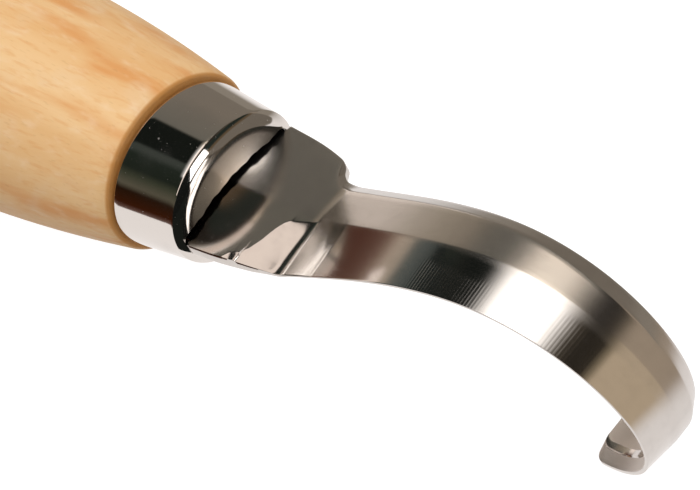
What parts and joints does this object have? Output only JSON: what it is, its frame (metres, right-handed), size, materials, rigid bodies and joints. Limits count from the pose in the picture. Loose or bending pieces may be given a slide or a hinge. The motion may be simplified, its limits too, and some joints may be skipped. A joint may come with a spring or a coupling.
{
  "type": "hook knife",
  "caption": "Hook knife for hollowing bowls and spoons: oval turned birch handle, slotted steel cap ferrule, and a bevelled blade that curls into a tight hook.",
  "frame": {"origin": "middle of the bottom of the whole knife's box, below the lowest point of the hook", "axes": "+X along the handle towards the hook, +Y from the cutting edge to the spine, +Z out of the blade's ground outer face, so the hook curls down"},
  "size_m": [0.1678, 0.0298, 0.0329],
  "materials": {
    "birch": "oiled birch with fine orange streaks, satin",
    "polished_steel": "mirror polished",
    "satin_steel": "ground along the hook and finely polished",
    "cured_resin": "clear amber, hidden in the handle"
  },
  "bodies": {
    "root": {"handle": "birch", "ferrule": "polished_steel", "blade": "satin_steel", "tang_bedding": "cured_resin"}
  },
  "joints": []
}
